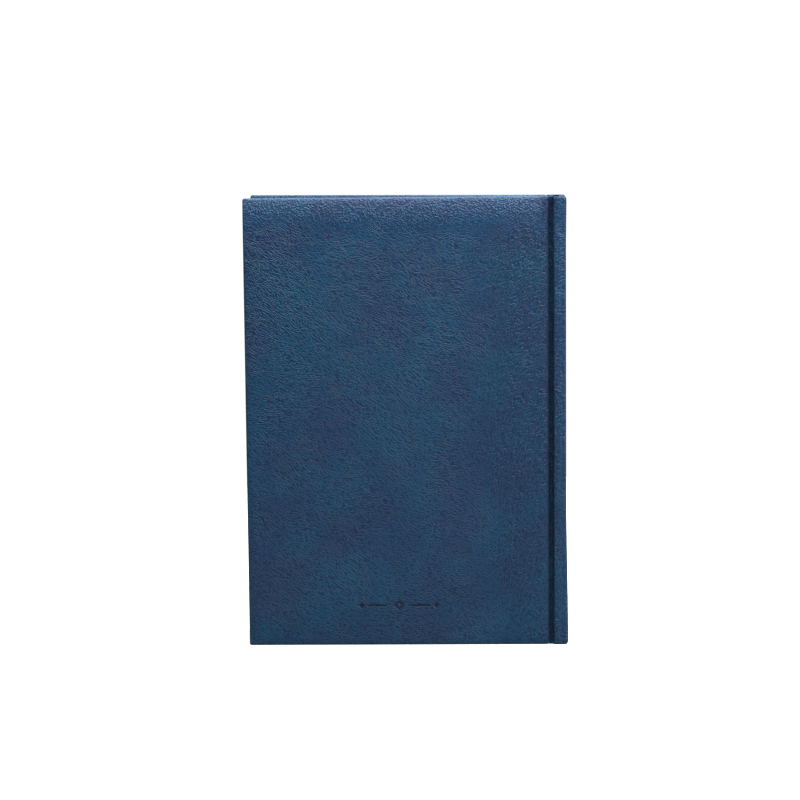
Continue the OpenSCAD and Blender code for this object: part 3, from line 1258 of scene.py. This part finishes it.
@dataclass
class SpineTurnIn:
    """The leather folded in over the spine board at head and tail, one pad at each end.

    Attributes:
        book: The book's planes.
        depth: How far it reaches inside.
        lap: How far its inner face stands behind the board.
    """

    book: Book
    depth: float = 15 * MM
    lap: float = 0.6 * MM

    def build(self) -> Piece:
        """Builds both folds as one piece.

        Returns:
            The finished piece.
        """
        board_low, board_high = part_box("spine_board")
        outer = self.book.back - self.book.leather
        half = board_high.y - 1.5 * MM
        ends = []
        for name, low_z, high_z, edge_z in (
            ("tail_fold", 0.0, self.depth, 0.0),
            ("head_fold", self.book.head - self.depth, self.book.head, self.book.head),
        ):
            fold = block(
                name,
                Vector((board_low.x - self.lap, -half, low_z)),
                Vector((outer + 0.05 * MM, half, high_z)),
            )
            with editing(fold, "EDGE"):
                pick(fold, "edges", lambda at, normal, z=edge_z: abs(at.z - z) < 0.01 * MM
                     and at.x < board_low.x)
                bpy.ops.mesh.bevel(affect="EDGES", offset=0.6 * MM, segments=4)
            ends.append(fold)
        piece = joined("spine_turn_in", ends)
        keep_place(piece)
        smooth(piece)
        LEATHER.dress(piece, "cover_leather")
        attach(piece, "spine")
        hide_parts("spine_leather")
        return piece


@dataclass
class Pastedown:
    """The endpaper half that is pasted over a cover's turn-ins and runs on over the joint.

    Attributes:
        book: The book's planes.
        border: Width of leather that shows round it.
        thick: Thickness of the paper.
        turn_in: Width of the turned-in leather that shows as a ridge under it.
        settle: Width over which the ridge falls away.
    """

    book: Book
    border: float = 3.5 * MM
    thick: float = 0.2 * MM
    turn_in: float = 16.2 * MM
    settle: float = 1.6 * MM

    def build(self, side: Side) -> Piece:
        """Builds one pasted-down endpaper and bends it over the joint.

        Args:
            side: Which cover.

        Returns:
            The finished piece.
        """
        piece = self._sheet(f"{side.value}_endpaper")
        sculpt(piece, self._settled)
        finish_with(piece, "SOLIDIFY", thickness=self.thick, offset=-1, use_even_offset=True)
        if side is Side.FRONT:
            mirrored(piece)
        keep_place(piece)
        smooth(piece)
        ENDPAPER.dress(piece, "endpaper")
        self.book.joint(side, self.book.inner).bend(piece)
        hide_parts(f"{side.value}_pastedown")
        return piece

    def _sheet(self, name: str) -> Piece:
        """A sheet that faces the pages, with more rows where it bends and settles."""
        low = Vector((self.book.fore + self.border, 0, self.border))
        far = self.book.shoulder - self.book.leather
        height = self.book.head - 2 * self.border
        middle = Vector(((low.x + far) / 2, self.thick - self.book.inner, self.book.head / 2))
        piece = grid(name, middle, (-math.pi / 2, 0, 0), (far - low.x, height), (90, 130))
        inner_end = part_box("section_folds")[1].x - 0.4 * MM
        steps = 14
        with editing(piece, "EDGE"):
            pick(piece, "edges", lambda at, normal: abs(at.x - far) < 0.01 * MM)
            for _ in range(steps):
                bpy.ops.mesh.extrude_edges_move()
                bpy.ops.transform.translate(value=((inner_end - far) / steps, 0, 0))
        outward(piece, Vector((0, 1, 0)))
        return piece

    def _settled(self, at: Vector) -> Vector:
        """Lets the paper down onto the board inside the turn-ins, and dips it into the joint."""
        inside = min(
            at.x - self.book.fore - self.turn_in,
            self.book.shoulder - self.book.leather - at.x,
            at.z - self.turn_in,
            self.book.head - self.turn_in - at.z,
        )
        drop = (self.book.board_in - self.book.inner) * ease(inside / self.settle)
        cockle = 0.04 * MM * noise.noise(at / (22 * MM))
        return at + Vector((0, -drop + cockle, 0))


# ---------------------------------------------------------------- text block


@dataclass
class TextBlock:
    """Sewn sections and single leaves, each one bending out of the stitched margin.

    Attributes:
        book: The book's planes.
        sheets: Number of folded sheet bundles that a section is drawn with.
        bend: Length over which a leaf curves away from its margin.
        air: Share of a bundle's pitch that is air.
        ragged: Most that a bundle's fore-edge stands back.
    """

    book: Book
    sheets: int = 6
    bend: float = 11 * MM
    air: float = 0.06
    ragged: float = 0.22 * MM

    def build(self) -> list[Piece]:
        """Builds every section and leaf.

        Returns:
            The finished pieces, from the front cover to the back cover.
        """
        pieces = []
        sections = [name for name in self.book.shares if name.startswith("section")]
        count = len(sections)
        for name in self.book.shares:
            front = self.book.pivots[name].y > 0
            if name in sections:
                twin = f"section_{count + 1 - int(name.rsplit('_', 1)[1])}" if front else name
                pieces.append(self._piece(name, twin, front, self.sheets))
            else:
                twin = name.replace("front", "back")
                pieces.append(self._piece(name, twin, front, 1))
        return pieces

    def _piece(self, name: str, twin: str, front: bool, sheets: int) -> Piece:
        """Builds one section or leaf.

        Args:
            name: The body whose pivot and share it takes, which is also its CAD node.
            twin: The node on the closed back half that has its size.
            front: Whether it belongs to the front half.
            sheets: Number of bundles across its thickness.

        Returns:
            The finished piece.
        """
        low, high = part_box(twin)
        margin_low, margin_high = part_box("section_folds")
        pitch = (high.y - low.y) / sheets
        stack = []
        for k in range(sheets):
            back = self.ragged * abs(noise.noise(Vector((k * 1.7, len(name), high.y / MM))))
            y = low.y + k * pitch
            stack.append(self._sheet(
                f"{name}_{k}",
                Vector((low.x + (back if sheets > 1 else 0.0), y, low.z)),
                Vector((margin_high.x, y + pitch * (1 - self.air if sheets > 1 else 1), high.z)),
                margin_low.x,
            ))
        piece = joined(f"{name}_pages", stack)
        if front:
            mirrored(piece)
        keep_place(piece)
        paper = ENDPAPER if "flyleaf" in name else PAGES
        paper.dress(piece, "endpaper" if "flyleaf" in name else "page_paper")
        piece.data.materials.append(PAGE_EDGES.material())
        for face in piece.data.polygons:
            face.material_index = 0 if abs(face.normal.y) > 0.7 else 1
        pivot = self.book.pivots[name]
        start = Vector((margin_low.x, pivot.y, 0))
        Fold(
            body=name,
            pivot=pivot,
            start=start,
            end=start - Vector((self.bend, 0, 0)),
            angle=self.book.ajar * self.book.shares[name] if front else 0.0,
        ).bend(piece)
        smooth(piece)
        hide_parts(name, "section_folds")
        return piece

    def _sheet(self, name: str, low: Vector, high: Vector, margin: float) -> Piece:
        """One bundle: its stitched margin, extruded on through the bend to the fore-edge."""
        piece = block(name, Vector((margin, low.y, low.z)), high)
        steps = 12
        rest = 4
        with editing(piece):
            pick(piece, "faces", lambda at, normal: normal.x < -0.9)
            for _ in range(steps):
                bpy.ops.mesh.extrude_region_move(
                    TRANSFORM_OT_translate={"value": (-self.bend / steps, 0, 0)}
                )
            far = margin - self.bend - low.x
            for _ in range(rest):
                bpy.ops.mesh.extrude_region_move(
                    TRANSFORM_OT_translate={"value": (-far / rest, 0, 0)}
                )
        return piece


@dataclass
class CordedBand:
    """A bead wound with two colours of silk, on its tape, at the head or the tail of the block.

    Attributes:
        winding: Width of one turn of silk.
        swell: How far the middle of a turn stands out.
    """

    winding: float = 0.55 * MM
    swell: float = 0.07 * MM

    def build(self, node: str) -> Piece:
        """Builds the band that stands for one CAD node.

        Args:
            node: Name of the CAD node.

        Returns:
            The finished piece.
        """
        low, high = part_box(node)
        at_head = node.startswith("head")
        radius = self._radius(node)
        bead_z = high.z - radius if at_head else low.z + radius
        bead = self._bead(node, Vector((low.x + radius, 0, bead_z)), radius, high.y)
        tape_low, tape_high = (low.z, bead_z) if at_head else (bead_z, high.z)
        tape = block(
            f"{node}_tape", Vector((high.x - 0.2 * MM, low.y, tape_low)),
            Vector((high.x, high.y, tape_high)),
        )
        with editing(tape, "EDGE"):
            bpy.ops.mesh.select_all(action="SELECT")
            bpy.ops.mesh.bevel(affect="EDGES", offset=0.05 * MM, segments=2)
        piece = joined(f"{node}_silk", [bead, tape])
        smooth(piece, 60)
        BAND_SILK.dress(piece, "band_cloth")
        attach(piece, "spine")
        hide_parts(node)
        return piece

    def _radius(self, node: str) -> float:
        """Radius of the bead, from how far the node stands out past the page ends."""
        low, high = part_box(node)
        pages_low, pages_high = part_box("section_folds")
        past = high.z - pages_high.z if node.startswith("head") else pages_low.z - low.z
        return past / 2

    def _bead(self, name: str, centre: Vector, radius: float, half: float) -> Piece:
        """A cylinder whose rings swell and pinch with each turn of silk."""
        clean_start()
        bpy.ops.mesh.primitive_cylinder_add(
            vertices=20, radius=radius, depth=self.winding, location=(centre.x, -half, centre.z),
            rotation=(-math.pi / 2, 0, 0),
        )
        piece = named_and_applied(f"{name}_bead", Vector((1, 1, 1)))
        turns = round(2 * half / self.winding)
        sculpt(piece, lambda at: Vector((at.x, -half if at.y < -half else -half + 0.001 * MM, at.z)))
        with editing(piece):
            pick(piece, "faces", lambda at, normal: normal.y > 0.9)
            step = 2 * half / (turns * 4)
            for _ in range(turns * 4):
                bpy.ops.mesh.extrude_region_move(TRANSFORM_OT_translate={"value": (0, step, 0)})

        def wound(at: Vector) -> Vector:
            """Pinches the bead between the turns."""
            wave = math.sin(math.pi * (at.y + half) / (2 * half / turns))
            scale = 1 - self.swell / radius * (1 - abs(wave))
            return Vector((centre.x + (at.x - centre.x) * scale, at.y,
                           centre.z + (at.z - centre.z) * scale))

        sculpt(piece, wound)
        return piece


# ---------------------------------------------------------------- carried-over nodes and studio


def dress_nodes(nodes: dict[str, Piece]) -> None:
    """Gives each CAD node that stays in view its own finish.

    Args:
        nodes: The CAD nodes by name.
    """
    finishes = {
        "spine_board": GREYBOARD,
        "spine_lining": KRAFT,
        "mull": GAUZE,
        "sewing_thread": THREAD,
    }
    for name, finish in finishes.items():
        node = nodes[name]
        node.data.materials.clear()
        node.data.materials.append(finish.material())
        log.info("node %s: %s", name, finish.name)


@dataclass(frozen=True)
class Softbox:
    """One rectangular softbox.

    Attributes:
        name: Its name.
        place: Where it hangs, from the book's middle.
        width: Its width.
        height: Its height.
        power: Its power in watts.
        level: Whether it faces straight down, and not the book's middle.
    """

    name: str
    place: tuple[float, float, float]
    width: float
    height: float
    power: float
    level: bool = False

    def hang(self, middle: Vector) -> None:
        """Adds the light round the book's middle."""
        light = bpy.data.lights.new(self.name, "AREA")
        light.shape = "RECTANGLE"
        light.size = self.width
        light.size_y = self.height
        light.energy = self.power
        box = bpy.data.objects.new(self.name, light)
        bpy.context.scene.collection.objects.link(box)
        box.location = middle + Vector(self.place)
        facing = -UP if self.level else -Vector(self.place)
        box.rotation_euler = facing.to_track_quat("-Z", "Y").to_euler()


SOFTBOXES = (
    Softbox("overhead", (0.22, 0.04, 0.47), 0.9, 0.6, 9, level=True),
    Softbox("head_strip", (0.1, -0.09, 0.27), 0.5, 0.12, 0.55, level=True),
    Softbox("left_fill", (-1.1, -0.7, 0.5), 0.7, 0.9, 0.5),
    Softbox("right_fill", (0.95, -0.8, 0.6), 0.5, 0.9, 6),
)


@dataclass
class Studio:
    """White sweep, a large overhead softbox, a strip over the head, two fills and the camera.

    Attributes:
        book: The book's planes.
        azimuth: Direction that the camera looks from, in degrees round the book.
        elevation: Its height above the horizon, in degrees.
        roll: Its roll, in degrees.
        distance: Its distance from the point that it looks at.
        aim_x: Place along X of the point that it looks at, from the cover's middle.
        aim_z: Height of that point.
        lens: Focal length on a 36 mm sensor, in millimetres.
    """

    book: Book
    azimuth: float = 1.54
    elevation: float = 7.37
    roll: float = 0.54
    distance: float = 1.1935
    aim_x: float = 1.5 * MM
    aim_z: float = 119.5 * MM
    lens: float = 112.5

    def build(self) -> None:
        """Sets up the floor, the light and the camera."""
        self._floor()
        self._world()
        middle = Vector(((self.book.fore + self.book.back) / 2, 0, self.book.head / 2))
        for softbox in SOFTBOXES:
            softbox.hang(middle)
        self._camera()

    def _floor(self) -> None:
        """A wide disc that the book stands on."""
        clean_start()
        bpy.ops.mesh.primitive_circle_add(vertices=96, radius=0.5, fill_type="NGON")
        floor = named_and_applied("floor", Vector((1, 1, 1)))
        floor.data.materials.append(FLOOR.material())

    def _world(self) -> None:
        """A white surround whose light is gentler than its look."""
        world = bpy.data.worlds.new("white_surround")
        bpy.context.scene.world = world
        world.use_nodes = True
        tree = world.node_tree
        tree.nodes.clear()
        seen = add_node(tree, "ShaderNodeBackground", {"Color": (1, 1, 1, 1), "Strength": 1.05})
        cast = add_node(tree, "ShaderNodeBackground", {"Color": (0.95, 0.98, 1, 1), "Strength": 0.1})
        path = add_node(tree, "ShaderNodeLightPath").outputs["Is Camera Ray"]
        shown = add_node(
            tree, "ShaderNodeMixShader", {0: path, 1: cast.outputs[0], 2: seen.outputs[0]}
        )
        add_node(tree, "ShaderNodeOutputWorld", {"Surface": shown.outputs[0]})

    def _camera(self) -> None:
        """Places the camera and makes it the scene's own."""
        azimuth, elevation = math.radians(self.azimuth), math.radians(self.elevation)
        away = Vector((
            math.sin(azimuth) * math.cos(elevation),
            -math.cos(azimuth) * math.cos(elevation),
            math.sin(elevation),
        ))
        aim = Vector((
            (self.book.fore + self.book.shoulder) / 2 + self.aim_x, -self.book.outer, self.aim_z
        ))
        data = bpy.data.cameras.new("camera")
        data.lens = self.lens
        data.sensor_width = 36
        camera = bpy.data.objects.new("camera", data)
        bpy.context.scene.collection.objects.link(camera)
        upright = (-away).to_track_quat("-Z", "Y").to_matrix()
        tilt = Matrix.Rotation(-math.radians(self.roll), 3, "Z")
        camera.matrix_world = Matrix.Translation(aim + away * self.distance) @ (upright @ tilt).to_4x4()
        bpy.context.scene.camera = camera


def main() -> None:
    """Builds the studio and every piece of the book in order."""
    logging.basicConfig(level=logging.INFO, format="%(name)s: %(message)s")
    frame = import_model()
    clean_start()
    bpy.context.scene.view_settings.view_transform = "Standard"
    book = Book.from_frame(frame)
    Studio(book).build()
    made = []
    for side in Side:
        made.append(CoverBoard(book).build(side))
        made.append(CoverSkin(book).build(side))
        made.append(JointLeather(book).build(side))
        made.append(Pastedown(book).build(side))
    made.append(SpineTurnIn(book).build())
    made.extend(TextBlock(book).build())
    made.extend(CordedBand().build(node) for node in ("head_band", "tail_band"))
    dress_nodes(frame["nodes"])
    for piece in made:
        log.info("%s: %d faces", piece.name, len(piece.data.polygons))


if __name__ == "__main__":
    main()
